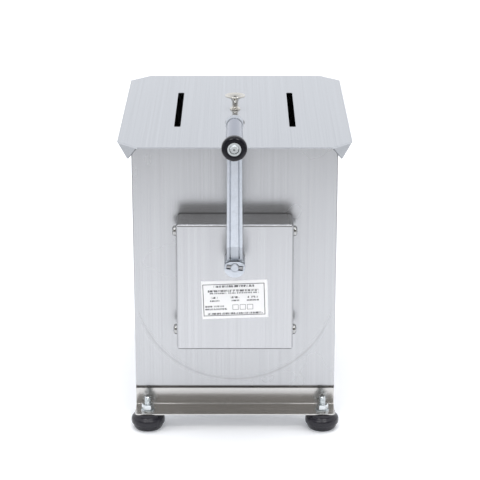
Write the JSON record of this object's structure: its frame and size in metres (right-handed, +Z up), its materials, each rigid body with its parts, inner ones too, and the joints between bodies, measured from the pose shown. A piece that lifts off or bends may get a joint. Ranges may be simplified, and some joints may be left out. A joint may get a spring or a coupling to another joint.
{
  "type": "manual meat mixer",
  "caption": "Hand-cranked meat mixer: steel tank with turning paddles, geared crank at the front, slotted lift-off lid with knob, standing on rails with rubber feet.",
  "frame": {"origin": "on the floor under the middle of the whole machine's box, with the crank upright", "axes": "+X across the tank to the right as seen from the crank, +Y from the crank towards the back, +Z up"},
  "size_m": [0.274, 0.5262, 0.4102],
  "materials": {
    "stainless_sheet": "brushed along the sheet",
    "rail_sheet": "brushed across the machine",
    "foot_rubber": "moulded, satin",
    "zinc_hardware": "zinc plated",
    "welded_steel": "machined",
    "nylon": "natural nylon",
    "seal_rubber": "moulded",
    "label_film": "plain film",
    "turned_steel": "turned, bright",
    "gear_steel": "cut, oiled",
    "cast_arm": "sand cast, plated",
    "grip_metal": "smooth",
    "black_plastic": "glossy",
    "knob_nickel": "nickel plated"
  },
  "bodies": {
    "tank": {"front_plate": "stainless_sheet", "rear_plate": "stainless_sheet", "trough": "stainless_sheet", "gear_cover": "stainless_sheet", "front_foot_rail": "rail_sheet", "rear_foot_rail": "rail_sheet", "foot_front_left": "foot_rubber", "foot_front_right": "foot_rubber", "foot_rear_left": "foot_rubber", "foot_rear_right": "foot_rubber", "foot_studs": "zinc_hardware", "foot_washers": "zinc_hardware", "foot_nuts": "zinc_hardware", "cover_screws": "zinc_hardware", "cover_washers": "zinc_hardware", "cover_lugs": "welded_steel", "crank_boss": "welded_steel", "front_boss": "welded_steel", "rear_boss": "welded_steel", "cover_bush": "nylon", "crank_bush": "nylon", "front_bush": "nylon", "rear_bush": "nylon", "front_seal": "seal_rubber", "rear_seal": "seal_rubber", "label_plate": "label_film"},
    "paddle": {"paddle_shaft": "turned_steel", "paddle_gear": "gear_steel", "gear_key": "gear_steel", "gear_clip": "gear_steel", "paddle_arms": "turned_steel", "paddle_blades": "turned_steel"},
    "crank": {"crank_shaft": "turned_steel", "drive_pinion": "gear_steel", "pinion_key": "gear_steel", "pinion_clip": "gear_steel", "crank_arm": "cast_arm", "crank_pin": "turned_steel", "grip_bolt": "zinc_hardware", "grip_nut": "zinc_hardware"},
    "grip": {"grip_sleeve": "grip_metal", "grip_end_ring": "black_plastic"},
    "lid": {"lid_sheet": "stainless_sheet", "lid_knob": "knob_nickel", "lid_knob_screw": "zinc_hardware"}
  },
  "joints": [
    {"name": "paddle_spin", "type": "hinge", "parent": "tank", "child": "paddle", "pos_m": [0, 0, 0.1754], "axis": [0, 1, 0], "continuous": true},
    {"name": "crank_spin", "type": "hinge", "parent": "tank", "child": "crank", "pos_m": [0, 0, 0.2264], "axis": [0, 1, 0], "continuous": true},
    {"name": "grip_spin", "type": "hinge", "parent": "crank", "child": "grip", "pos_m": [0, -0.2, 0.3964], "axis": [0, 1, 0], "continuous": true},
    {"name": "lid_lift", "type": "slide", "parent": "tank", "child": "lid", "axis": [0, 0, 1], "range_m": [0, 0.15]}
  ],
  "couplings": [
    {"joint": "crank_spin", "follows": "paddle_spin", "ratio": -2}
  ]
}
